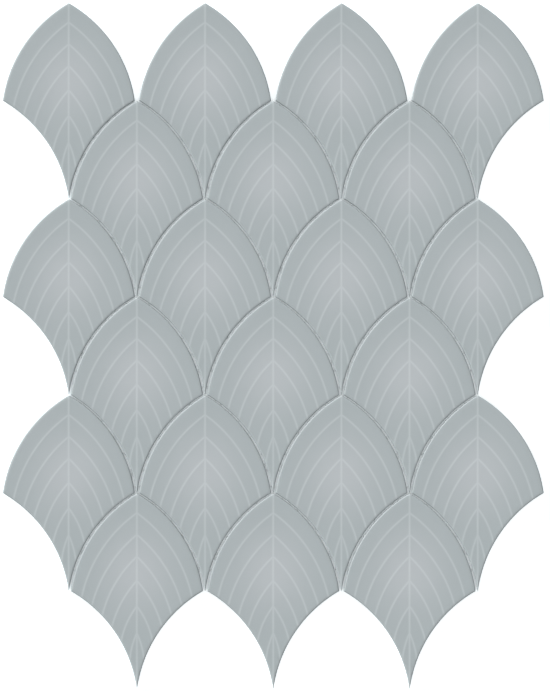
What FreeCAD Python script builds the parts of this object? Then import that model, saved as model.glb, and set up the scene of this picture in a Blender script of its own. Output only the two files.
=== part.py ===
import FreeCAD, Part
import math
import os
import Sketcher

# Fish scale mosaic sheet: pressed ceramic scale tiles in six staggered rows, held by a mesh back.
# Frame, in millimetres: the sheet lies flat and face up. The origin is under the middle of the
# sheet, on the surface that it lies on. +X runs along a row, +Y points to the tiles' apexes, and
# +Z is up.

# Driving dimensions: name, value, what it measures.
DIMENSIONS = [
    ("tile_width", 63.5, "between a tile's two side corners"),
    ("tile_rise", 47.05, "from the side corners up to the apex, and down to the tip"),
    ("arc_radius", 64.4, "of all four arcs of a tile's outline"),
    ("tip_width", 0.2, "the blunt end of the tip"),
    ("tile_thickness", 6.5, "from the back to the face"),
    ("ease_width", 0.8, "eased edge of the face, seen from above"),
    ("ease_drop", 0.55, "eased edge of the face, seen from the side"),
    ("key_width", 4.0, "a keying groove of the back"),
    ("key_depth", 0.4, "a keying groove of the back"),
    ("key_pitch", 14.0, "from one keying groove to the next"),
    ("key_inset", 5.0, "from a tile's edge to the end of a keying groove"),
    ("column_gap", 2.1, "between the side corners of neighbours in a row"),
    ("row_gap", 0.15, "what a row's pitch adds to the tile's rise"),
    ("thread_width", 0.9, "a flat glass thread of the mesh"),
    ("thread_height", 0.25, "a flat glass thread of the mesh"),
    ("thread_pitch", 8.0, "from one thread to the next, both ways"),
    ("thread_inset", 2.5, "from the sheet's outline to the cut mesh"),
    ("shortest_thread", 16.0, "shorter offcuts are left out"),
]
TILES_IN_ROW = [4, 3, 4, 3, 4, 3]
KEY_STEPS = [0, 1]
CUTTER_OVERRUN = 1.0
VOLUME_STEP = 1e-3

doc = FreeCAD.newDocument("fish_scale_sheet")
dims = doc.addObject("Spreadsheet::Sheet", "dims")
for row, (alias, value, meaning) in enumerate(DIMENSIONS, start=1):
    dims.set(f"A{row}", str(value))
    dims.setAlias(f"A{row}", alias)
    dims.set(f"B{row}", meaning)
doc.recompute()


def value_of(expression):
    """The number that an expression over the sheet's cells gives."""
    return float(dims.evalExpression(expression))


def arc_axis(width, rise):
    """How far the axis of an upper arc lies past the middle line, and below the side corners."""
    chord = f"sqrt(({width})^2 / 4 + ({rise})^2)"
    pull = f"sqrt(dims.arc_radius^2 - ({chord})^2 / 4) / ({chord})"
    return f"({pull} * ({rise}) - ({width}) / 4)", f"({pull} * ({width}) / 2 - ({rise}) / 2)"


COLUMN_PITCH = "(dims.tile_width + dims.column_gap)"
ROW_PITCH = "(dims.tile_rise + dims.row_gap)"
AXIS_PAST, AXIS_BELOW = arc_axis("dims.tile_width", "dims.tile_rise")
FLANK_PAST, FLANK_UNDER = arc_axis("dims.tile_width - dims.tip_width", "dims.tile_rise")
FLANK_ACROSS = f"(dims.tile_width / 2 + {FLANK_PAST})"
FLANK_BELOW = f"(dims.tile_rise + {FLANK_UNDER})"


def tile_places():
    """Row, column and middle of every tile, as expressions, from the top row down."""
    middle_row = (len(TILES_IN_ROW) - 1) / 2
    for row, count in enumerate(TILES_IN_ROW):
        for column in range(count):
            across = f"{column - (count - 1) / 2} * {COLUMN_PITCH}"
            up = f"{middle_row - row} * {ROW_PITCH}"
            yield row + 1, column + 1, across, up


def origin_plane(body, role):
    return next(plane for plane in body.Origin.OriginFeatures if plane.Role == role)


def new_sketch(body, name, role):
    """A sketch of the body on one of its own origin planes."""
    sketch = body.newObject("Sketcher::SketchObject", name)
    sketch.AttachmentSupport = [(origin_plane(body, role), "")]
    sketch.MapMode = "FlatFace"
    return sketch


def hold(sketch, kind, references, expression):
    """Add a size to a sketch and bind it to an expression."""
    index = sketch.addConstraint(Sketcher.Constraint(kind, *references, value_of(expression)))
    sketch.setExpression(f"Constraints[{index}]", expression)


def hold_from_origin(sketch, kind, line, expression):
    """Hold a line's start at a signed distance from the sketch's origin."""
    origin = (-1, 1)
    if value_of(expression) < 0:
        hold(sketch, kind, (line, 1) + origin, f"-({expression})")
    else:
        hold(sketch, kind, origin + (line, 1), expression)


def add_polygon(sketch, corners):
    """Draw a closed polygon whose corners are pairs of expressions."""
    points = [FreeCAD.Vector(value_of(across), value_of(up), 0) for across, up in corners]
    following = points[1:] + points[:1]
    lines = [sketch.addGeometry(Part.LineSegment(*ends)) for ends in zip(points, following)]
    for line, after in zip(lines, lines[1:] + lines[:1]):
        sketch.addConstraint(Sketcher.Constraint("Coincident", line, 2, after, 1))
    for line, (across, up) in zip(lines, corners):
        hold_from_origin(sketch, "DistanceX", line, across)
        hold_from_origin(sketch, "DistanceY", line, up)


def add_arc(sketch, centre, start, end):
    """Draw an arc about a centre, turning left from one point to the other."""
    circle = Part.Circle(centre, FreeCAD.Vector(0, 0, 1), (start - centre).Length)
    angles = [math.atan2(point.y - centre.y, point.x - centre.x) for point in (start, end)]
    return sketch.addGeometry(Part.ArcOfCircle(circle, *angles))


def add_scale_outline(sketch):
    """Draw the scale: two bulging upper arcs to the apex, two hollow flanks to the blunt tip."""
    half_width, half_tip = value_of("dims.tile_width / 2"), value_of("dims.tip_width / 2")
    rise = value_of("dims.tile_rise")
    past, below = value_of(AXIS_PAST), value_of(AXIS_BELOW)
    flank_across, flank_below = value_of(FLANK_ACROSS), value_of(FLANK_BELOW)
    apex = FreeCAD.Vector(0, rise, 0)
    left, right = FreeCAD.Vector(-half_width, 0, 0), FreeCAD.Vector(half_width, 0, 0)
    tip_left, tip_right = FreeCAD.Vector(-half_tip, -rise, 0), FreeCAD.Vector(half_tip, -rise, 0)
    upper_right = add_arc(sketch, FreeCAD.Vector(-past, -below, 0), right, apex)
    upper_left = add_arc(sketch, FreeCAD.Vector(past, -below, 0), apex, left)
    flank_left = add_arc(sketch, FreeCAD.Vector(-flank_across, -flank_below, 0), tip_left, left)
    tip = sketch.addGeometry(Part.LineSegment(tip_left, tip_right))
    flank_right = add_arc(sketch, FreeCAD.Vector(flank_across, -flank_below, 0), right, tip_right)
    meetings = [
        (upper_right, 2, upper_left, 1),
        (upper_left, 2, flank_left, 2),
        (flank_left, 1, tip, 1),
        (tip, 2, flank_right, 2),
        (flank_right, 1, upper_right, 1),
    ]
    for meeting in meetings:
        sketch.addConstraint(Sketcher.Constraint("Coincident", *meeting))
    sketch.addConstraint(Sketcher.Constraint("PointOnObject", upper_right, 2, -2))
    sketch.addConstraint(Sketcher.Constraint("PointOnObject", upper_right, 1, -1))
    sketch.addConstraint(Sketcher.Constraint("Symmetric", upper_left, 2, upper_right, 1, -1, 1))
    sketch.addConstraint(Sketcher.Constraint("Symmetric", tip, 1, tip, 2, -2))
    hold(sketch, "DistanceX", (upper_left, 2, upper_right, 1), "dims.tile_width")
    hold(sketch, "DistanceX", (tip, 1, tip, 2), "dims.tip_width")
    hold(sketch, "DistanceY", (-1, 1, upper_right, 2), "dims.tile_rise")
    hold(sketch, "DistanceY", (tip, 1, -1, 1), "dims.tile_rise")
    for arc in (upper_right, upper_left, flank_left, flank_right):
        hold(sketch, "Radius", (arc,), "dims.arc_radius")


def must_cut(body, cut):
    """Recompute, and stop if a cut took nothing off its body."""
    before = cut.BaseFeature.Shape.Volume
    doc.recompute()
    if body.Shape.Volume > before - VOLUME_STEP:
        raise RuntimeError(f"{cut.Name} cuts nothing")


def cut_key_grooves(body, name):
    """Press the keying grooves into the wide part of the back, as long as its width allows."""
    sketch = new_sketch(body, f"{name}_key_lines", "XY_Plane")
    for step in KEY_STEPS:
        level = f"{step} * dims.key_pitch"
        half_width = f"sqrt(dims.arc_radius^2 - ({level} + {AXIS_BELOW})^2) - {AXIS_PAST}"
        reach = f"({half_width} - dims.key_inset)"
        low, high = f"{level} - dims.key_width / 2", f"{level} + dims.key_width / 2"
        left, right = f"-{reach}", reach
        add_polygon(sketch, [(left, low), (right, low), (right, high), (left, high)])
    grooves = body.newObject("PartDesign::Pocket", f"{name}_key_grooves")
    grooves.Profile = sketch
    grooves.Reversed = True
    grooves.setExpression("Length", "dims.key_depth")
    must_cut(body, grooves)


def ease_edge(body, name, across, up, inward):
    """Turn the sharp edge off one arc, about its axis; inward is -1 where the arc bulges."""
    sketch = new_sketch(body, f"{name}_profile", "XZ_Plane")
    sketch.setExpression("AttachmentOffset.Base.x", across)
    sketch.setExpression("AttachmentOffset.Base.z", f"-({up})")
    face, edge = "dims.tile_thickness", "dims.arc_radius"
    start = f"{edge} + {inward} * dims.ease_width"
    foot = f"{face} - dims.ease_drop"
    outside = f"{edge} - {inward} * {CUTTER_OVERRUN}"
    above = f"{face} + {CUTTER_OVERRUN}"
    corners = [(start, face), (edge, foot), (outside, foot), (outside, above), (start, above)]
    add_polygon(sketch, corners)
    easing = body.newObject("PartDesign::Groove", name)
    easing.Profile = sketch
    easing.ReferenceAxis = (sketch, ["V_Axis"])
    easing.Angle = 360.0
    must_cut(body, easing)


def build_tile(name, across, up):
    """One pressed scale tile, bedded on the two layers of the mesh."""
    body = doc.addObject("PartDesign::Body", name)
    outline = new_sketch(body, f"{name}_outline", "XY_Plane")
    add_scale_outline(outline)
    biscuit = body.newObject("PartDesign::Pad", f"{name}_biscuit")
    biscuit.Profile = outline
    biscuit.setExpression("Length", "dims.tile_thickness")
    doc.recompute()
    cut_key_grooves(body, name)
    for side, turn in (("left", 1), ("right", -1)):
        ease_edge(body, f"{name}_upper_{side}", f"{turn} * {AXIS_PAST}", f"-{AXIS_BELOW}", -1)
        ease_edge(body, f"{name}_flank_{side}", f"{-turn} * {FLANK_ACROSS}", f"-{FLANK_BELOW}", 1)
    body.setExpression("Placement.Base.x", across)
    body.setExpression("Placement.Base.y", up)
    body.setExpression("Placement.Base.z", "2 * dims.thread_height")
    return body


class Cells:
    """The sheet's ground plan: each tile's cell reaches to the middle of the joints around it."""

    def __init__(self):
        self.radius = value_of("dims.arc_radius")
        self.half_width = value_of(f"{COLUMN_PITCH} / 2")
        self.rise = value_of(ROW_PITCH)
        self.past, self.below = [value_of(side) for side in arc_axis(COLUMN_PITCH, ROW_PITCH)]
        self.middles = [(value_of(x), value_of(y)) for _, _, x, y in tile_places()]

    def reach(self, offset):
        """The arc's other coordinate at an offset from its axis, or nothing past its end."""
        return math.sqrt(max(self.radius**2 - offset**2, 0))

    def column_spans(self, x):
        """Stretches of the line at x that lie on the sheet."""
        spans = []
        for middle_x, middle_y in self.middles:
            off = abs(x - middle_x)
            if off < self.half_width:
                top = self.reach(off + self.past) - self.below
                foot = self.reach(self.half_width + self.past - off) - self.below - self.rise
                spans.append((middle_y + foot, middle_y + top))
        return joined(spans)

    def row_spans(self, y):
        """Stretches of the line at y that lie on the sheet."""
        spans = []
        for middle_x, middle_y in self.middles:
            off = y - middle_y
            if 0 <= off < self.rise:
                half = self.reach(off + self.below) - self.past
            elif -self.rise < off < 0:
                half = self.half_width + self.past - self.reach(off + self.rise + self.below)
            else:
                continue
            spans.append((middle_x - half, middle_x + half))
        return joined(spans)


def joined(spans):
    """Merge stretches that touch."""
    touch = 0.01
    merged = []
    for low, high in sorted(spans):
        if merged and low <= merged[-1][1] + touch:
            merged[-1] = (merged[-1][0], max(high, merged[-1][1]))
        else:
            merged.append((low, high))
    return merged


def shared(first, second):
    """The stretches that two lists of stretches have in common."""
    pairs = [(max(a[0], b[0]), min(a[1], b[1])) for a in first for b in second]
    return [(low, high) for low, high in pairs if low < high]


def cut_lengths(spans_at, place):
    """Where the thread at a place starts and ends, kept inside the sheet's outline."""
    inset = value_of("dims.thread_inset")
    spans = shared(spans_at(place - inset), spans_at(place + inset))
    ends = [(low + inset, high - inset) for low, high in spans]
    return [(low, high) for low, high in ends if high - low > value_of("dims.shortest_thread")]


def thread_places(half_extent):
    """Threads at even pitch on both sides of the middle line."""
    pitch = value_of("dims.thread_pitch")
    count = int(half_extent / pitch + 0.5)
    return [pitch * (index + 0.5) for index in range(-count, count)]


def lay_threads(name, layer, along, across, places, spans_at):
    """One layer of flat threads, running along one axis, as one compound."""
    threads = []
    half_width = value_of("dims.thread_width / 2")
    for place in places:
        for low, high in cut_lengths(spans_at, place):
            thread = doc.addObject("Part::Box", f"{name}_{len(threads) + 1}")
            setattr(thread, along, high - low)
            thread.setExpression(across, "dims.thread_width")
            thread.setExpression("Height", "dims.thread_height")
            corner = (place - half_width, low) if along == "Width" else (low, place - half_width)
            thread.Placement.Base = FreeCAD.Vector(*corner, 0)
            thread.setExpression("Placement.Base.z", f"{layer} * dims.thread_height")
            threads.append(thread)
    mesh = doc.addObject("Part::Compound", name)
    mesh.Links = threads
    return mesh


def build_sheet():
    tiles = [build_tile(f"tile_r{row}_c{column}", x, y) for row, column, x, y in tile_places()]
    cells = Cells()
    across_places = thread_places(max(x for x, _ in cells.middles) + cells.half_width)
    up_places = thread_places(max(y for _, y in cells.middles) + cells.rise)
    warp = lay_threads("mesh_warp_threads", 0, "Width", "Length", across_places, cells.column_spans)
    weft = lay_threads("mesh_weft_threads", 1, "Length", "Width", up_places, cells.row_spans)
    doc.recompute()
    return tiles + [warp, weft]


def check(pieces):
    """Stop before anything is written if an object failed or a shape isn't sound."""
    failed = [item.Name for item in doc.Objects if {"Invalid", "Error"} & set(item.State)]
    unsound = [piece.Label for piece in pieces if piece.Shape.isNull() or not piece.Shape.isValid()]
    if failed or unsound:
        raise RuntimeError(f"failed: {failed}, not sound: {unsound}")


pieces = build_sheet()
check(pieces)
os.makedirs("parts", exist_ok=True)
for piece in pieces:
    piece.Shape.exportStep(f"parts/{piece.Label}.step")
    print(f"{piece.Label}: {len(piece.Shape.Solids)} solids, {piece.Shape.Volume:.1f} mm3")
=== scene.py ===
import math
from typing import NamedTuple

import bmesh
import bpy
import numpy as np
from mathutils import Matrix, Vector


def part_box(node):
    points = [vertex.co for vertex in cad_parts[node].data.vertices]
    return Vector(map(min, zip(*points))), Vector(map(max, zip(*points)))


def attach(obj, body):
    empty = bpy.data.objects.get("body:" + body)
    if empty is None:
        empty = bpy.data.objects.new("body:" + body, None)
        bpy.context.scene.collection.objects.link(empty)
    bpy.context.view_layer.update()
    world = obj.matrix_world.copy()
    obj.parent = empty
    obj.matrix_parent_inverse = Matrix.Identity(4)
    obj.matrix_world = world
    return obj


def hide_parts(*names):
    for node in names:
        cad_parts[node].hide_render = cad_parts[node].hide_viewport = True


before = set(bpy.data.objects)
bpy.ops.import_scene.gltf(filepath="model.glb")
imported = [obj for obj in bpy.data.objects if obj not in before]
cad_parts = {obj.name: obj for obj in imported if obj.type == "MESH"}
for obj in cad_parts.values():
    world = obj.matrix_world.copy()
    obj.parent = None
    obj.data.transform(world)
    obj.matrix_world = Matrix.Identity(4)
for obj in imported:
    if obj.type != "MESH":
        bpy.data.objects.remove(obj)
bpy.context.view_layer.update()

# Fish scale mosaic sheet, lying face up. Metres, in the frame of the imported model.
MM = 0.001
TILES = sorted(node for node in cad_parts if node.startswith("tile_"))
BODY = "root"

# One scale tile. Its own plan has the side corners at height 0 and the midrib at x = 0.
LOW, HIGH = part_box(TILES[0])
HALF_WIDTH = (HIGH.x - LOW.x) / 2
RISE = (HIGH.y - LOW.y) / 2
BACK, FACE = LOW.z, HIGH.z
ARC_RADIUS = 64.4 * MM
TIP_HALF = 0.1 * MM
RIM_WIDTH = 0.8 * MM
RIM_DROP = 0.55 * MM

# The pressed leaf: height on the midrib, distance out where a vein meets the flank, its radius.
VEINS = [
    (37.65 * MM, 26.65 * MM, 67.5 * MM),
    (27.15 * MM, 21.75 * MM, 66.0 * MM),
    (16.65 * MM, 16.75 * MM, 58.1 * MM),
    (5.05 * MM, 12.15 * MM, 53.4 * MM),
    (-7.25 * MM, 7.65 * MM, 40.2 * MM),
    (-20.15 * MM, 3.5 * MM, 40.2 * MM),
]
VEIN_HEIGHT = 0.018 * MM
VEIN_REACH = 0.8 * MM
VEIN_POINTS = 33
# The veins die out on the rim, at this share of its width from the outline.
VEIN_END = 0.35

# How finely the face is divided. The rows near the tip close up by a power. A row that starts nearer
# the flank than NARROW takes the columns of the row above it.
RIDGE_STEPS = np.array((0.0, 0.15, 0.32, 0.52, 0.8)) * MM
RIM_LINES = 7
RIM_STEPS = RIM_WIDTH * (1 - np.cos(np.linspace(0, math.pi / 2, RIM_LINES)))
FIELD_ROWS = 3
FIELD_COLUMNS = 26
TIP_ROWS = 9
TIP_POWER = 1.3
NARROW = 3 * RIM_WIDTH
ARC_SAMPLES = 400
SEARCH_SAMPLES = 4 * ARC_SAMPLES

# The walls, and the keying grooves of the back. The glaze ends on the walls in a wavy line. Edges of
# the bare clay that turn by more than CREASE stay sharp.
GROOVE_LEVELS = np.array((0.0, 14.0)) * MM
GROOVE_WIDTH = 4.0 * MM
GROOVE_DEPTH = 0.4 * MM
GROOVE_INSET = 5.0 * MM
GLAZE_RUN = 4.2 * MM
GLAZE_WAVE = 0.3 * MM
WAVE_ACROSS = 3.1 * MM
WAVE_ALONG = 4.3 * MM
WAVE_SLANT = 9 * MM
CREASE = math.radians(40)


class Layer(NamedTuple):
    """A layer of the mesh: its node and piece, the axis it runs along, and its strands."""

    node: str
    piece: str
    along: int
    strands: tuple
    spread: float
    width: float


# The glass mesh under the tiles: twisted pairs for the warp, single flat yarns for the weft. The
# threads lie half a pitch off the sheet's middle, and their ends are read to END_PLACES decimals.
THREAD_PITCH = 8.0 * MM
THREAD_STEP = THREAD_PITCH / 4
FEWEST_STEPS = 2
END_PLACES = 6
STRAND_SIDES = 8
STRAND_HEIGHT = 0.2 * MM
STRAND_LIFT = 0.02 * MM
X_AXIS, Y_AXIS = 0, 1
LAYERS = [
    Layer(
        node="mesh_warp_threads", piece="warp_strands", along=Y_AXIS,
        strands=(1.0, -1.0), spread=0.2 * MM, width=0.46 * MM,
    ),
    Layer(
        node="mesh_weft_threads", piece="weft_strands", along=X_AXIS,
        strands=(1.0,), spread=0.0, width=0.86 * MM,
    ),
]


class Texture(NamedTuple):
    """Scales of a surface's clouds and grain, and the grain's strength and depth as bump."""

    cloud_scale: float
    grain_scale: float
    bump: float
    depth: float


CLOUD_DETAIL = 3.0
GRAIN_DETAIL = 2.0

# The glaze. Colours are as they are seen, on the 0 to 255 scale. The painted glow is a soft spot of
# painted light above the middle of the scale, and its sizes are those of a bell curve.
GLAZE_TEXTURE = Texture(cloud_scale=45.0, grain_scale=2600.0, bump=0.05, depth=0.05 * MM)
GLAZE_FIELD = (162.4, 170.8, 173.2)
GLAZE_PAINTED_GLOW = (179.5, 184.8, 188.1)
GLAZE_CLOUDS = ((161, 169.1, 171.1), (181, 189.1, 190.1))
GLAZE_CREST = (232, 238.5, 240)
PAINTED_GLOW_ABOVE = 10.2 * MM
PAINTED_GLOW_ACROSS = 12.1 * MM
PAINTED_GLOW_ALONG = 14.1 * MM
CLOUD_SHARE = 0.12
CREST_SHARE = 0.185
GLAZE_ROUGHNESS = 0.62
GLAZE_IOR = 1.5
GLAZE_SPECULAR = 0.6

# The bare clay, with flecks where its grain is high.
BISCUIT_TEXTURE = Texture(cloud_scale=60.0, grain_scale=2200.0, bump=0.35, depth=0.1 * MM)
BISCUIT_CLOUDS = ((186, 193, 195), (202, 209, 211))
BISCUIT_FLECK = (176, 174, 170)
FLECK_FROM = 0.66
FLECK_SHARE = 0.35
BISCUIT_ROUGHNESS = 0.8
BISCUIT_SPECULAR = 0.25
CLOUD_ROUGHNESS = 0.1

# The coated glass yarn. Its faint cool tint is painted reflection, the glaze's colour bounced into the
# joints.
YARN_TEXTURE = Texture(cloud_scale=220.0, grain_scale=5200.0, bump=0.4, depth=0.06 * MM)
YARN_CLOUDS = ((238, 246, 248), (245, 251, 252))
YARN_ROUGHNESS = 0.45
FIBRE_ROUGHNESS = 0.2

# The floor, with its colour in linear values; its faint cool tint is painted reflection, the glaze's
# colour bounced into the joints. It glows to stay white, and less where the tiles close off the space
# within FLOOR_SHADE: not at all where the open share is SHADE_CLOSED, and fully from SHADE_OPEN.
FLOOR_SIZE = 6.0
FLOOR_COLOUR = (0.9, 0.96, 0.98, 1.0)
FLOOR_GLOW = 0.45
FLOOR_SHADE = 3.0 * MM
SHADE_SAMPLES = 16
SHADE_CLOSED = 0.2
SHADE_OPEN = 0.5

# The light. AMBIENT, OVERHEAD and KEY are the shares of white that each gives a surface facing it.
AMBIENT = 0.185
OVERHEAD = 0.43
OVERHEAD_SOFTNESS = math.radians(3)
KEY = 1.35
KEY_ELEVATION = math.radians(16.7)
KEY_AZIMUTH = math.radians(135)
KEY_SOFTNESS = math.radians(22)

# The photograph's frame, in its pixels: the sheet's middle, and millimetres to a pixel.
PHOTO_WIDTH, PHOTO_HEIGHT = 550, 692
SHEET_MIDDLE = (272.76, 345.43)
MM_PER_PIXEL = 0.4811
LENS = 1000.0
SENSOR = 36.0


# The plan of a scale's face, as rows of points between the midrib and the right flank.


def arc_axis(half_width):
    """Axis of an arc of the outline's radius that climbs the rise from a half width to the midrib."""
    chord = math.hypot(half_width, RISE)
    pull = math.sqrt(ARC_RADIUS**2 - chord**2 / 4) / chord
    return np.array((half_width / 2 - pull * RISE, RISE / 2 - pull * half_width))


UPPER_AXIS = arc_axis(HALF_WIDTH)
FLANK_AXIS = np.array((HALF_WIDTH, -RISE)) + (-1, 1) * arc_axis(HALF_WIDTH - TIP_HALF)


def flank_point(across):
    """The point of the right flank at a distance from the midrib."""
    off = across - FLANK_AXIS[0]
    return np.array((across, FLANK_AXIS[1] + math.sqrt(ARC_RADIUS**2 - off**2)))


def flank_at(turn):
    """The point of the right flank at an angle about the flank's axis."""
    return FLANK_AXIS + ARC_RADIUS * np.array((math.cos(turn), math.sin(turn)))


def bowed_arc(start, end, bow):
    """Centre and radius of the arc that bows up and out from a chord by a share of its length."""
    span = end - start
    length = np.hypot(*span)
    rise = bow * length
    radius = (length**2 / 4 + rise**2) / (2 * rise)
    outward = np.array((-span[1], span[0])) / length
    return (start + end) / 2 - outward * (radius - rise), radius


def bow_of(start, end, radius):
    """The share of its chord by which an arc of a radius bows."""
    length = np.hypot(*(end - start))
    return (radius - math.sqrt(radius**2 - length**2 / 4)) / length


def arc_at(centre, radius, turns):
    """Points of an arc at some angles."""
    return centre + radius * np.stack((np.cos(turns), np.sin(turns)), axis=1)


def clear_of_flank(points):
    """How far points lie inside the right flank."""
    return np.hypot(*(points - FLANK_AXIS).T) - ARC_RADIUS


def arc_points(centre, radius):
    """Points along a row from the midrib to the flank, and how far each lies inside the flank."""
    start = math.acos(-centre[0] / radius)
    turns = np.linspace(start, start - math.pi / 2, SEARCH_SAMPLES)
    clear = clear_of_flank(arc_at(centre, radius, turns))
    last = int(np.argmax(clear < 0))
    share = clear[last - 1] / (clear[last - 1] - clear[last])
    end = start + (turns[1] - turns[0]) * (last - 1 + share)
    points = arc_at(centre, radius, np.linspace(start, end, ARC_SAMPLES))
    clear = clear_of_flank(points)
    clear[-1] = 0.0
    return points, clear


class Row:
    """One line of the face's grid: an arc from the midrib to the flank."""

    def __init__(self, centre, radius):
        self.centre, self.radius = np.array(centre), radius
        self.points, self.clear = arc_points(self.centre, radius)
        self.start, self.end = self.points[0], self.points[-1]
        self.bow = bow_of(self.start, self.end, radius)
        toward = self.end - FLANK_AXIS
        self.turn = math.atan2(toward[1], toward[0])

    def beside(self, offset):
        """The parallel row further out by an offset."""
        return Row(self.centre, self.radius + offset)


def rows_between(upper, lower, count):
    """Rows that lead from one arc to another."""
    rows = []
    for share in np.linspace(0, 1, count + 2)[1:-1]:
        start = upper.start + share * (lower.start - upper.start)
        end = flank_at(upper.turn + share * (lower.turn - upper.turn))
        rows.append(Row(*bowed_arc(start, end, upper.bow + share * (lower.bow - upper.bow))))
    return rows


def vein_ends(height, reach):
    """Where a vein leaves the midrib, and where it meets the flank."""
    return np.array((0.0, height)), flank_point(reach)


def vein_row(height, reach, radius):
    """The row along the crest of a vein."""
    start, end = vein_ends(height, reach)
    return Row(*bowed_arc(start, end, bow_of(start, end, radius)))


def tip_rows(upper):
    """Rows from the last vein down to just above the tip, closing up as the scale narrows."""
    foot = np.array((0.0, -RISE))
    tip_turn = math.atan2(*(foot + (TIP_HALF, 0) - FLANK_AXIS)[::-1])
    rows = []
    for share in 1 - np.linspace(1, 0, TIP_ROWS + 1)[1:-1] ** TIP_POWER:
        start = upper.start + share * (foot - upper.start)
        end = flank_at(upper.turn + share * (tip_turn - upper.turn))
        rows.append(Row(*bowed_arc(start, end, upper.bow)))
    return rows


def face_rows():
    """All rows of the face: the eased rim, then the field and the ridges in turn, then the tip."""
    rim = Row(UPPER_AXIS, ARC_RADIUS)
    rows = [rim.beside(-step) for step in RIM_STEPS]
    ridge = np.concatenate((RIDGE_STEPS[:0:-1], -RIDGE_STEPS))
    for vein in VEINS:
        crest = vein_row(*vein)
        flanks = [crest.beside(offset) for offset in ridge]
        rows += rows_between(rows[-1], flanks[0], FIELD_ROWS) + flanks
    return rows + tip_rows(rows[-1])


def column_shares(row):
    """Where the columns cross a row, as shares of its length: close at the midrib and the rim."""
    length = np.linspace(0, 1, ARC_SAMPLES)
    near = np.interp(RIDGE_STEPS, row.points[:, 0], length)
    rim = np.interp(-RIM_STEPS[::-1], -row.clear, length)
    field = np.linspace(near[-1], rim[0], FIELD_COLUMNS + 2)[1:-1]
    return np.concatenate((near, field, rim))


def face_grid():
    """Plan of the right half of the face, and how far each point is inside the outline."""
    plan, inside = [], []
    length = np.linspace(0, 1, ARC_SAMPLES)
    shares = None
    for row in face_rows():
        if row.clear[0] > NARROW:
            shares = column_shares(row)
        points = np.stack([np.interp(shares, length, side) for side in row.points.T], axis=1)
        to_upper = ARC_RADIUS - np.hypot(*(points - UPPER_AXIS).T)
        to_flank = np.interp(shares, length, row.clear)
        plan.append(points)
        inside.append(np.minimum(to_upper, to_flank))
    return np.array(plan), np.maximum(np.array(inside), 0.0)


# The blank: a scale tile before its leaf is pressed.


def rim_fall(inside):
    """How far the eased rim has fallen at a distance inside the outline."""
    share = np.clip(1 - inside / RIM_WIDTH, 0, 1)
    return RIM_DROP * (1 - np.sqrt(1 - share**2))


def key_grooves():
    """Half length and level of each keying groove of the back."""
    for level in GROOVE_LEVELS:
        reach = UPPER_AXIS[0] + math.sqrt(ARC_RADIUS**2 - (level - UPPER_AXIS[1]) ** 2)
        yield reach - GROOVE_INSET, level


def glaze_wave(x, y):
    """How unevenly the glaze has run down the wall at a place of the plan."""
    waves = math.sin(x / WAVE_ACROSS) + math.sin(y / WAVE_ALONG + x / WAVE_SLANT)
    return GLAZE_WAVE * waves / 2


def add_face(bm, depth, ground):
    """The face's grid on both sides of the midrib, with a fan to the tip. Gives its rim as a loop."""
    plan, inside = face_grid()
    rows, columns = inside.shape
    grid = []
    for i in range(rows):
        line = []
        for j in range(1 - columns, columns):
            x, y = plan[i, abs(j)]
            vert = bm.verts.new((math.copysign(x, j), y, ground - rim_fall(inside[i, abs(j)])))
            vert[depth] = inside[i, abs(j)] / RIM_WIDTH
            line.append(vert)
        grid.append(line)
    tip = [bm.verts.new((side * TIP_HALF, -RISE, ground - RIM_DROP)) for side in (-1, 1)]
    for upper, lower in zip(grid, grid[1:]):
        for j in range(len(upper) - 1):
            bm.faces.new((lower[j], lower[j + 1], upper[j + 1], upper[j]))
    last = grid[-1]
    for j in range(len(last) - 1):
        bm.faces.new((tip[j >= columns - 1], last[j + 1], last[j]))
    bm.faces.new((*tip, last[columns - 1]))
    right = [line[-1] for line in grid[:0:-1]]
    left = [line[0] for line in grid[1:]]
    return tip + right + grid[0][::-1] + left


def lowered(bm, loop, level):
    """A copy of a loop at a level."""
    return [bm.verts.new((vert.co.x, vert.co.y, level)) for vert in loop]


def add_wall(bm, upper, lower):
    """A band of wall between two loops that run anticlockwise, seen from above."""
    count = len(upper)
    afters = [(i + 1) % count for i in range(count)]
    return [bm.faces.new((lower[i], lower[j], upper[j], upper[i])) for i, j in enumerate(afters)]


def loop_edges(bm, loop):
    """The edges of a closed loop, made where they are missing."""
    found = []
    for a, b in zip(loop, loop[1:] + loop[:1]):
        found.append(bm.edges.get((a, b)) or bm.edges.new((a, b)))
    return found


def add_back(bm, outline):
    """The back inside its outline, with the keying grooves pressed in. Gives its faces."""
    faces, mouths = [], []
    for reach, level in key_grooves():
        corners = ((-reach, -1), (-reach, 1), (reach, 1), (reach, -1))
        places = [(x, level + side * GROOVE_WIDTH / 2) for x, side in corners]
        mouth = [bm.verts.new((x, y, BACK)) for x, y in places]
        floor = [bm.verts.new((x, y, BACK + GROOVE_DEPTH)) for x, y in places]
        faces += add_wall(bm, floor, mouth) + [bm.faces.new(floor)]
        mouths += loop_edges(bm, mouth)
    made = bmesh.ops.triangle_fill(bm, edges=loop_edges(bm, outline) + mouths, use_beauty=True)
    for face in made["geom"]:
        if isinstance(face, bmesh.types.BMFace):
            faces.append(face)
            if face.normal.z > 0:
                face.normal_flip()
    return faces


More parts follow.
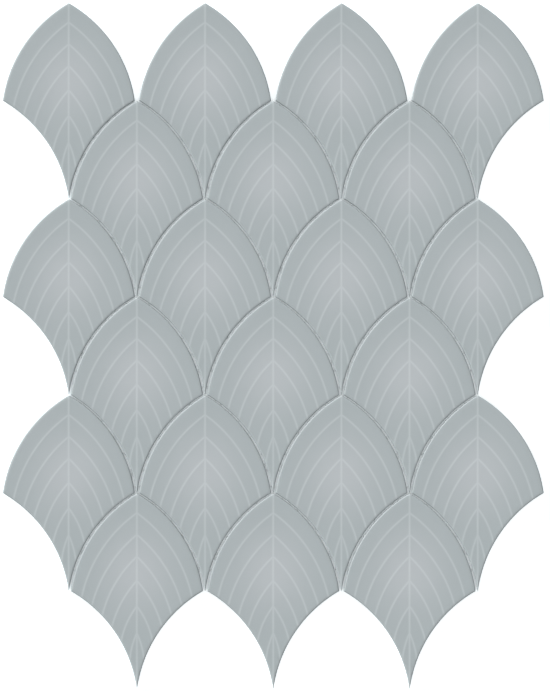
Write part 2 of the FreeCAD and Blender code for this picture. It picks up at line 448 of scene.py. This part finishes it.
def pressed_blank():
    """Face, eased rim, glazed and bare walls, and keyed back, with the bare faces marked."""
    bm = bmesh.new()
    depth = bm.verts.layers.float.new("inside")
    unglazed = bm.faces.layers.bool.new("bare")
    ground = FACE - VEIN_HEIGHT
    rim = add_face(bm, depth, ground)
    glaze_line = lowered(bm, rim, ground - RIM_DROP - GLAZE_RUN)
    for vert in glaze_line:
        vert.co.z += glaze_wave(vert.co.x, vert.co.y)
    back = lowered(bm, rim, BACK)
    add_wall(bm, rim, glaze_line)
    bare = add_wall(bm, glaze_line, back) + add_back(bm, back)
    for face in bare:
        face[unglazed] = True
    for face in bm.faces:
        face.smooth = True
    for edge in bm.edges:
        if edge.calc_face_angle(0) > CREASE and any(face[unglazed] for face in edge.link_faces):
            edge.smooth = False
    return bm


def on_plan_map(x, y):
    """Where a place of the plan lies on the tile's UV map, which the plan fills."""
    return 0.5 + x / (2 * HALF_WIDTH), 0.5 + y / (2 * RISE)


def blank_mesh(name):
    """The blank as a mesh, with its plan as a UV map."""
    bm = pressed_blank()
    plan_map = bm.loops.layers.uv.new("scale_plan")
    for face in bm.faces:
        for loop in face.loops:
            loop[plan_map].uv = on_plan_map(loop.vert.co.x, loop.vert.co.y)
    mesh = bpy.data.meshes.new(name)
    bm.to_mesh(mesh)
    bm.free()
    return mesh


# Helpers for node trees.


def add_node(tree, kind, inputs=(), **settings):
    """Add a node; inputs are (socket, value or output) pairs."""
    node = tree.nodes.new(kind)
    for name, value in settings.items():
        setattr(node, name, value)
    for key, value in inputs:
        if isinstance(value, bpy.types.NodeSocket):
            tree.links.new(value, node.inputs[key])
        else:
            node.inputs[key].default_value = value
    return node


def maths(tree, operation, *values):
    """A Math node on one to three values, as its output."""
    return add_node(tree, "ShaderNodeMath", enumerate(values), operation=operation).outputs[0]


def smooth_step(tree, value, low, high):
    """A value's way from a low value to a high one, as a share with soft ends, as an output."""
    inputs = [("Value", value), ("From Min", low), ("From Max", high)]
    node = add_node(tree, "ShaderNodeMapRange", inputs, interpolation_type="SMOOTHSTEP")
    return node.outputs["Result"]


def mixed(tree, share, first, second):
    """A colour between two colours, as an output."""
    node = add_node(tree, "ShaderNodeMix", data_type="RGBA")
    for socket, value in (("Factor_Float", share), ("A_Color", first), ("B_Color", second)):
        target = next(item for item in node.inputs if item.identifier == socket)
        if isinstance(value, bpy.types.NodeSocket):
            tree.links.new(value, target)
        else:
            target.default_value = value
    return next(item for item in node.outputs if item.identifier == "Result_Color")


def srgb(colour):
    """A colour as it is seen, on the 0 to 255 scale, as the shader's linear values."""
    levels = [level / 255 for level in colour]
    linear = [x / 12.92 if x <= 0.04045 else ((x + 0.055) / 1.055) ** 2.4 for x in levels]
    return (*linear, 1.0)


def bell(tree, value, middle, width):
    """How far a value lies from the middle of a bell curve, in widths and squared, as an output."""
    off = maths(tree, "DIVIDE", maths(tree, "SUBTRACT", value, middle), width)
    return maths(tree, "MULTIPLY", off, off)


# Materials.


def new_material(name):
    """A material with nodes, its tree and its shader."""
    material = bpy.data.materials.new(name)
    material.use_nodes = True
    tree = material.node_tree
    return material, tree, tree.nodes["Principled BSDF"]


def cloudy_group():
    """Soft clouds and fine grain, used by every fired or coated surface here."""
    tree = bpy.data.node_groups.new("cloud_and_grain", "ShaderNodeTree")
    kind = "NodeSocketFloat"
    for name in ("Cloud Scale", "Grain Scale"):
        tree.interface.new_socket(name=name, in_out="INPUT", socket_type=kind)
    for name in ("Cloud", "Grain"):
        tree.interface.new_socket(name=name, in_out="OUTPUT", socket_type=kind)
    source = tree.nodes.new("NodeGroupInput")
    result = tree.nodes.new("NodeGroupOutput")
    place = tree.nodes.new("ShaderNodeTexCoord").outputs["Object"]
    for name, detail in (("Cloud", CLOUD_DETAIL), ("Grain", GRAIN_DETAIL)):
        scale = source.outputs[f"{name} Scale"]
        inputs = [("Vector", place), ("Scale", scale), ("Detail", detail)]
        noise = add_node(tree, "ShaderNodeTexNoise", inputs)
        tree.links.new(noise.outputs["Fac"], result.inputs[name])
    return tree


def new_surface(name, group, texture):
    """A material with its grain as bump, its tree and shader, and its cloud and grain."""
    material, tree, shader = new_material(name)
    scales = [("Cloud Scale", texture.cloud_scale), ("Grain Scale", texture.grain_scale)]
    cloudy = add_node(tree, "ShaderNodeGroup", scales, node_tree=group)
    relief = [
        ("Strength", texture.bump),
        ("Distance", texture.depth),
        ("Height", cloudy.outputs["Grain"]),
    ]
    bump = add_node(tree, "ShaderNodeBump", relief)
    tree.links.new(bump.outputs["Normal"], shader.inputs["Normal"])
    return material, tree, shader, cloudy.outputs


def clouded(tree, share, colours):
    """A colour between a pair of colours as they are seen, as an output."""
    return mixed(tree, share, *(srgb(colour) for colour in colours))


def glaze_material(group):
    """Satin grey glaze: paler in a painted glow above the middle of each scale, and along the veins.
    """
    material, tree, shader, texture = new_surface("satin_grey_glaze", group, GLAZE_TEXTURE)
    plan = add_node(tree, "ShaderNodeUVMap", uv_map="scale_plan").outputs["UV"]
    apart = add_node(tree, "ShaderNodeSeparateXYZ", [("Vector", plan)])
    # Painted light: a soft painted highlight above the middle of the scale, fading as a bell curve.
    middle = on_plan_map(0.0, PAINTED_GLOW_ABOVE)
    across = bell(tree, apart.outputs["X"], middle[0], PAINTED_GLOW_ACROSS / (2 * HALF_WIDTH))
    along = bell(tree, apart.outputs["Y"], middle[1], PAINTED_GLOW_ALONG / (2 * RISE))
    fall = maths(tree, "MULTIPLY", maths(tree, "ADD", across, along), -0.5)
    painted_glow = maths(tree, "EXPONENT", fall)
    field = clouded(tree, painted_glow, (GLAZE_FIELD, GLAZE_PAINTED_GLOW))
    cloudy = clouded(tree, texture["Cloud"], GLAZE_CLOUDS)
    field = mixed(tree, CLOUD_SHARE, field, cloudy)
    vein = add_node(tree, "ShaderNodeAttribute", attribute_name="vein").outputs["Fac"]
    crest = maths(tree, "MULTIPLY", vein, CREST_SHARE)
    colour = mixed(tree, crest, field, srgb(GLAZE_CREST))
    tree.links.new(colour, shader.inputs["Base Color"])
    rough = maths(tree, "MULTIPLY_ADD", texture["Cloud"], CLOUD_ROUGHNESS, GLAZE_ROUGHNESS)
    tree.links.new(rough, shader.inputs["Roughness"])
    shader.inputs["IOR"].default_value = GLAZE_IOR
    shader.inputs["Specular IOR Level"].default_value = GLAZE_SPECULAR
    return material


def biscuit_material(group):
    """Bare fired clay of the walls and the back."""
    material, tree, shader, texture = new_surface("bare_biscuit", group, BISCUIT_TEXTURE)
    colour = clouded(tree, texture["Cloud"], BISCUIT_CLOUDS)
    high = maths(tree, "GREATER_THAN", texture["Grain"], FLECK_FROM)
    fleck = maths(tree, "MULTIPLY", high, FLECK_SHARE)
    colour = mixed(tree, fleck, colour, srgb(BISCUIT_FLECK))
    tree.links.new(colour, shader.inputs["Base Color"])
    rough = maths(tree, "MULTIPLY_ADD", texture["Cloud"], CLOUD_ROUGHNESS, BISCUIT_ROUGHNESS)
    tree.links.new(rough, shader.inputs["Roughness"])
    shader.inputs["Specular IOR Level"].default_value = BISCUIT_SPECULAR
    return material


def thread_material(group):
    """Coated glass yarn: white, with a fine grain."""
    material, tree, shader, texture = new_surface("coated_glass_yarn", group, YARN_TEXTURE)
    # Painted reflection: the yarn's cool tint stands in for the glaze's colour bounced into the
    # joints.
    colour = clouded(tree, texture["Cloud"], YARN_CLOUDS)
    tree.links.new(colour, shader.inputs["Base Color"])
    rough = maths(tree, "MULTIPLY_ADD", texture["Grain"], FIBRE_ROUGHNESS, YARN_ROUGHNESS)
    tree.links.new(rough, shader.inputs["Roughness"])
    return material


# Geometry Nodes: the pressed leaf, and the threads.


def new_tree(name, sizes):
    """A geometry tree with a geometry in and out, and named sizes."""
    tree = bpy.data.node_groups.new(name, "GeometryNodeTree")
    tree.interface.new_socket(name="Geometry", in_out="INPUT", socket_type="NodeSocketGeometry")
    tree.interface.new_socket(name="Geometry", in_out="OUTPUT", socket_type="NodeSocketGeometry")
    for label, kind in sizes:
        tree.interface.new_socket(name=label, in_out="INPUT", socket_type=f"NodeSocket{kind}")
    return tree, tree.nodes.new("NodeGroupInput"), tree.nodes.new("NodeGroupOutput")


def set_inputs(modifier, values):
    """Set a modifier's inputs by their sockets' identifiers."""
    for item in modifier.node_group.interface.items_tree:
        if item.item_type == "SOCKET" and item.in_out == "INPUT" and item.name in values:
            modifier[item.identifier] = values[item.name]


def baked(source, tree, values, name):
    """The result of a tree on a mesh, as a plain mesh object at the origin."""
    carrier = bpy.data.objects.new(f"{name}_carrier", source)
    bpy.context.scene.collection.objects.link(carrier)
    modifier = carrier.modifiers.new("shape", "NODES")
    modifier.node_group = tree
    set_inputs(modifier, values)
    graph = bpy.context.evaluated_depsgraph_get()
    shaped = carrier.evaluated_get(graph)
    mesh = bpy.data.meshes.new_from_object(shaped, preserve_all_data_layers=True, depsgraph=graph)
    carrier.modifiers.remove(modifier)
    bpy.data.objects.remove(carrier)
    mesh.name = name
    piece = bpy.data.objects.new(name, mesh)
    bpy.context.scene.collection.objects.link(piece)
    return piece


def named(tree, name, kind):
    """A named attribute of the geometry, as an output."""
    node = add_node(tree, "GeometryNodeInputNamedAttribute", [("Name", name)], data_type=kind)
    return node.outputs["Attribute"]


def place_apart(tree):
    """The place of each point, with its three coordinates apart."""
    here = tree.nodes.new("GeometryNodeInputPosition").outputs[0]
    return add_node(tree, "ShaderNodeSeparateXYZ", [("Vector", here)]).outputs


def leaf_lines(tree):
    """The veins of both halves, as lines in the plan."""
    half = tree.nodes.new("GeometryNodeJoinGeometry")
    for height, reach, radius in VEINS:
        start, end = vein_ends(height, reach)
        bow = bow_of(start, end, radius)
        span = end - start
        middle = (start + end) / 2 + bow * np.array((-span[1], span[0]))
        ends = [("Start", start), ("Middle", middle), ("End", end)]
        places = [(key, (*point, 0.0)) for key, point in ends]
        inputs = [("Resolution", VEIN_POINTS), *places]
        arc = add_node(tree, "GeometryNodeCurveArc", inputs, mode="POINTS")
        tree.links.new(arc.outputs["Curve"], half.inputs["Geometry"])
    mirror = [("Geometry", half.outputs[0]), ("Scale", (-1, 1, 1))]
    turned = add_node(tree, "GeometryNodeTransform", mirror)
    whole = tree.nodes.new("GeometryNodeJoinGeometry")
    for output in (half.outputs[0], turned.outputs[0]):
        tree.links.new(output, whole.inputs["Geometry"])
    return add_node(tree, "GeometryNodeCurveToMesh", [("Curve", whole.outputs[0])]).outputs["Mesh"]


def leaf_tree():
    """Raise the leaf's midrib and veins on a blank, keep their mask, and set the tile in its place."""
    sizes = [
        ("Vein Height", "Float"), ("Vein Reach", "Float"), ("Place", "Vector"),
        ("Glaze", "Material"), ("Biscuit", "Material"),
    ]
    tree, given, result = new_tree("press_leaf", sizes)
    lines = leaf_lines(tree)
    apart = place_apart(tree)
    flat = add_node(tree, "ShaderNodeCombineXYZ", [("X", apart["X"]), ("Y", apart["Y"])])
    near = add_node(
        tree, "GeometryNodeProximity",
        [("Geometry", lines), ("Sample Position", flat.outputs[0])], target_element="EDGES",
    )
    reach = given.outputs["Vein Reach"]
    on_face = smooth_step(tree, named(tree, "inside", "FLOAT"), VEIN_END, 1.0)
    ridge = smooth_step(tree, near.outputs["Distance"], reach, 0.0)
    veins = maths(tree, "MULTIPLY", ridge, on_face)
    midrib = smooth_step(tree, maths(tree, "ABSOLUTE", apart["X"]), reach, 0.0)
    mask = maths(tree, "MAXIMUM", veins, midrib)
    pressed = maths(tree, "MULTIPLY", mask, on_face)
    lift = maths(tree, "MULTIPLY", pressed, given.outputs["Vein Height"])
    up = add_node(tree, "ShaderNodeCombineXYZ", [("Z", lift)]).outputs[0]
    kept = add_node(
        tree, "GeometryNodeStoreNamedAttribute",
        [("Geometry", given.outputs["Geometry"]), ("Name", "vein"), ("Value", mask)],
        data_type="FLOAT", domain="POINT",
    )
    raised = add_node(
        tree, "GeometryNodeSetPosition", [("Geometry", kept.outputs[0]), ("Offset", up)],
    )
    placed = add_node(
        tree, "GeometryNodeTransform",
        [("Geometry", raised.outputs[0]), ("Translation", given.outputs["Place"])],
    )
    real = add_node(tree, "GeometryNodeRealizeInstances", [("Geometry", placed.outputs[0])])
    glazed = add_node(
        tree, "GeometryNodeSetMaterial",
        [("Geometry", real.outputs[0]), ("Material", given.outputs["Glaze"])],
    )
    bare = [
        ("Geometry", glazed.outputs[0]),
        ("Selection", named(tree, "bare", "BOOLEAN")),
        ("Material", given.outputs["Biscuit"]),
    ]
    finished = add_node(tree, "GeometryNodeSetMaterial", bare)
    tree.links.new(finished.outputs[0], result.inputs["Geometry"])
    return tree


def make_tiles(glaze, biscuit):
    """One pressed and glazed scale for every tile of the sheet."""
    blank = blank_mesh("scale_blank")
    tree = leaf_tree()
    for node in TILES:
        low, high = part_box(node)
        values = {
            "Vein Height": VEIN_HEIGHT, "Vein Reach": VEIN_REACH,
            "Place": ((low.x + high.x) / 2, (low.y + high.y) / 2, 0.0),
            "Glaze": glaze, "Biscuit": biscuit,
        }
        piece = baked(blank, tree, values, f"leaf_scale_{node.removeprefix('tile_')}")
        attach(piece, BODY)
        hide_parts(node)


def thread_runs(node, along):
    """Each thread of a layer: its place across, and where it starts and ends."""
    across = 1 - along
    corners = np.array([vert.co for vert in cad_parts[node].data.vertices])
    places = np.round(corners[:, across] / THREAD_PITCH - 0.5).astype(int)
    for place in sorted(set(places)):
        ends = sorted(set(np.round(corners[places == place, along], END_PLACES)))
        for start, end in zip(ends[::2], ends[1::2]):
            yield (place + 0.5) * THREAD_PITCH, start, end


def thread_lines(node, along, level):
    """The middle lines of a layer's threads; every other thread turns the other way."""
    mesh = bpy.data.meshes.new(f"{node}_lines")
    points, edges, turns = [], [], []
    for index, (place, start, end) in enumerate(thread_runs(node, along)):
        count = max(int(round((end - start) / THREAD_STEP)), FEWEST_STEPS) + 1
        first = len(points)
        for run in np.linspace(start, end, count):
            points.append((place, run, level) if along == Y_AXIS else (run, place, level))
        edges += [(first + i, first + i + 1) for i in range(count - 1)]
        turns += [1.0 if index % 2 else -1.0] * count
    mesh.from_pydata(points, edges, [])
    mesh.attributes.new("turn", "FLOAT", "POINT").data.foreach_set("value", turns)
    return mesh


def thread_tree(name, along, strands):
    """Flat strands that follow the threads, spreading at each crossing and closing between them."""
    sizes = [
        ("Pitch", "Float"), ("Spread", "Float"), ("Lift", "Float"),
        ("Strand Width", "Float"), ("Strand Height", "Float"), ("Yarn", "Material"),
    ]
    tree, given, result = new_tree(name, sizes)
    run = maths(tree, "DIVIDE", place_apart(tree)["XYZ"[along]], given.outputs["Pitch"])
    angle = maths(tree, "MULTIPLY", run, math.pi)
    turn = named(tree, "turn", "FLOAT")
    swing = maths(tree, "MULTIPLY", maths(tree, "SINE", angle), turn)
    swing = maths(tree, "MULTIPLY", swing, given.outputs["Spread"])
    weave = maths(tree, "MULTIPLY", maths(tree, "COSINE", angle), turn)
    weave = maths(tree, "MULTIPLY", weave, given.outputs["Lift"])
    lines = add_node(tree, "GeometryNodeMeshToCurve", [("Mesh", given.outputs["Geometry"])])
    one_across = [("Resolution", STRAND_SIDES), ("Radius", 0.5)]
    ring = add_node(tree, "GeometryNodeCurvePrimitiveCircle", one_across)
    girth = add_node(
        tree, "ShaderNodeCombineXYZ",
        [("X", given.outputs["Strand Width"]), ("Y", given.outputs["Strand Height"]), ("Z", 1.0)],
    )
    profile = add_node(
        tree, "GeometryNodeTransform",
        [("Geometry", ring.outputs["Curve"]), ("Scale", girth.outputs[0])],
    )
    joined = tree.nodes.new("GeometryNodeJoinGeometry")
    for side in strands:
        aside = maths(tree, "MULTIPLY", swing, side)
        above = maths(tree, "MULTIPLY", weave, side)
        shift = add_node(tree, "ShaderNodeCombineXYZ", [("XYZ"[1 - along], aside), ("Z", above)])
        strand = add_node(
            tree, "GeometryNodeSetPosition",
            [("Geometry", lines.outputs[0]), ("Offset", shift.outputs[0])],
        )
        upright = add_node(
            tree, "GeometryNodeSetCurveNormal", [("Curve", strand.outputs[0])], mode="Z_UP",
        )
        sweep = [
            ("Curve", upright.outputs[0]),
            ("Profile Curve", profile.outputs[0]),
            ("Fill Caps", True),
        ]
        swept = add_node(tree, "GeometryNodeCurveToMesh", sweep)
        tree.links.new(swept.outputs[0], joined.inputs["Geometry"])
    real = add_node(tree, "GeometryNodeRealizeInstances", [("Geometry", joined.outputs[0])])
    finished = add_node(
        tree, "GeometryNodeSetMaterial",
        [("Geometry", real.outputs[0]), ("Material", given.outputs["Yarn"])],
    )
    tree.links.new(finished.outputs[0], result.inputs["Geometry"])
    return tree


def make_mesh(yarn):
    """The two layers of the glass mesh."""
    for node, name, along, strands, spread, width in LAYERS:
        low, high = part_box(node)
        lines = thread_lines(node, along, (low.z + high.z) / 2)
        tree = thread_tree(f"lay_{name}", along, strands)
        values = {
            "Pitch": THREAD_PITCH, "Spread": spread, "Lift": STRAND_LIFT,
            "Strand Width": width, "Strand Height": STRAND_HEIGHT, "Yarn": yarn,
        }
        piece = baked(lines, tree, values, name)
        for polygon in piece.data.polygons:
            polygon.use_smooth = True
        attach(piece, BODY)
        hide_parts(node)


# Stage: floor, light and camera.


def seen_directly(tree):
    """1 for the rays that show the background: camera, glossy and transmission rays."""
    path = tree.nodes.new("ShaderNodeLightPath")
    seen = maths(tree, "MAXIMUM", path.outputs["Is Camera Ray"], path.outputs["Is Glossy Ray"])
    return maths(tree, "MAXIMUM", seen, path.outputs["Is Transmission Ray"])


def make_floor():
    """A white floor that takes the sheet's shadow, and glows where it lies open."""
    material, tree, shader = new_material("white_floor")
    tree.nodes.remove(shader)
    # Painted reflection: the floor's cool tint stands in for the glaze's colour bounced into the
    # joints.
    matt = add_node(tree, "ShaderNodeBsdfDiffuse", [("Color", FLOOR_COLOUR)])
    reach = [("Distance", FLOOR_SHADE)]
    sky = add_node(tree, "ShaderNodeAmbientOcclusion", reach, samples=SHADE_SAMPLES)
    open_floor = smooth_step(tree, sky.outputs["AO"], SHADE_CLOSED, SHADE_OPEN)
    level = maths(tree, "MULTIPLY", open_floor, FLOOR_GLOW)
    strength = maths(tree, "MULTIPLY", seen_directly(tree), level)
    glow = add_node(tree, "ShaderNodeEmission", [("Strength", strength)])
    both = add_node(tree, "ShaderNodeAddShader", [(0, matt.outputs[0]), (1, glow.outputs[0])])
    tree.links.new(both.outputs[0], tree.nodes["Material Output"].inputs["Surface"])
    half = FLOOR_SIZE / 2
    mesh = bpy.data.meshes.new("floor")
    corners = [(-half, -half, 0), (half, -half, 0), (half, half, 0), (-half, half, 0)]
    mesh.from_pydata(corners, [], [(0, 1, 2, 3)])
    mesh.materials.append(material)
    floor = bpy.data.objects.new("floor", mesh)
    bpy.context.scene.collection.objects.link(floor)


def make_world():
    """Even light from all round, on a white background."""
    world = bpy.data.worlds.new("studio")
    bpy.context.scene.world = world
    world.use_nodes = True
    tree = world.node_tree
    background = tree.nodes["Background"]
    background.inputs["Color"].default_value = (1, 1, 1, 1)
    strength = maths(tree, "MULTIPLY_ADD", seen_directly(tree), 1 - AMBIENT, AMBIENT)
    tree.links.new(strength, background.inputs["Strength"])


def add_sun(name, level, softness, toward, mirrored):
    """A distant lamp; level is the share of white that it gives a surface facing it."""
    light = bpy.data.lights.new(name, "SUN")
    light.energy = level * math.pi
    light.angle = softness
    lamp = bpy.data.objects.new(name, light)
    lamp.rotation_mode = "QUATERNION"
    lamp.rotation_quaternion = Vector(toward).to_track_quat("Z", "Y")
    lamp.visible_glossy = mirrored
    bpy.context.scene.collection.objects.link(lamp)


def make_lights():
    """A low, broad key light, and one from overhead that reaches into the joints."""
    out = math.cos(KEY_ELEVATION)
    toward = (out * math.cos(KEY_AZIMUTH), out * math.sin(KEY_AZIMUTH), math.sin(KEY_ELEVATION))
    add_sun("key_light", KEY, KEY_SOFTNESS, toward, True)
    add_sun("overhead_light", OVERHEAD, OVERHEAD_SOFTNESS, (0, 0, 1), False)


def make_camera():
    """Straight down on the face, framed as in the photograph."""
    camera = bpy.data.cameras.new("camera")
    camera.lens = LENS
    camera.sensor_width = SENSOR
    distance = LENS / SENSOR * PHOTO_HEIGHT * MM_PER_PIXEL * MM
    right = ((PHOTO_WIDTH - 1) / 2 - SHEET_MIDDLE[0]) * MM_PER_PIXEL * MM
    up = (SHEET_MIDDLE[1] - (PHOTO_HEIGHT - 1) / 2) * MM_PER_PIXEL * MM
    viewer = bpy.data.objects.new("camera", camera)
    viewer.location = (right, up, FACE + distance)
    bpy.context.scene.collection.objects.link(viewer)
    bpy.context.scene.camera = viewer


cloud_and_grain = cloudy_group()
make_tiles(glaze_material(cloud_and_grain), biscuit_material(cloud_and_grain))
make_mesh(thread_material(cloud_and_grain))
make_floor()
make_world()
make_lights()
make_camera()
bpy.context.scene.view_settings.view_transform = "Standard"
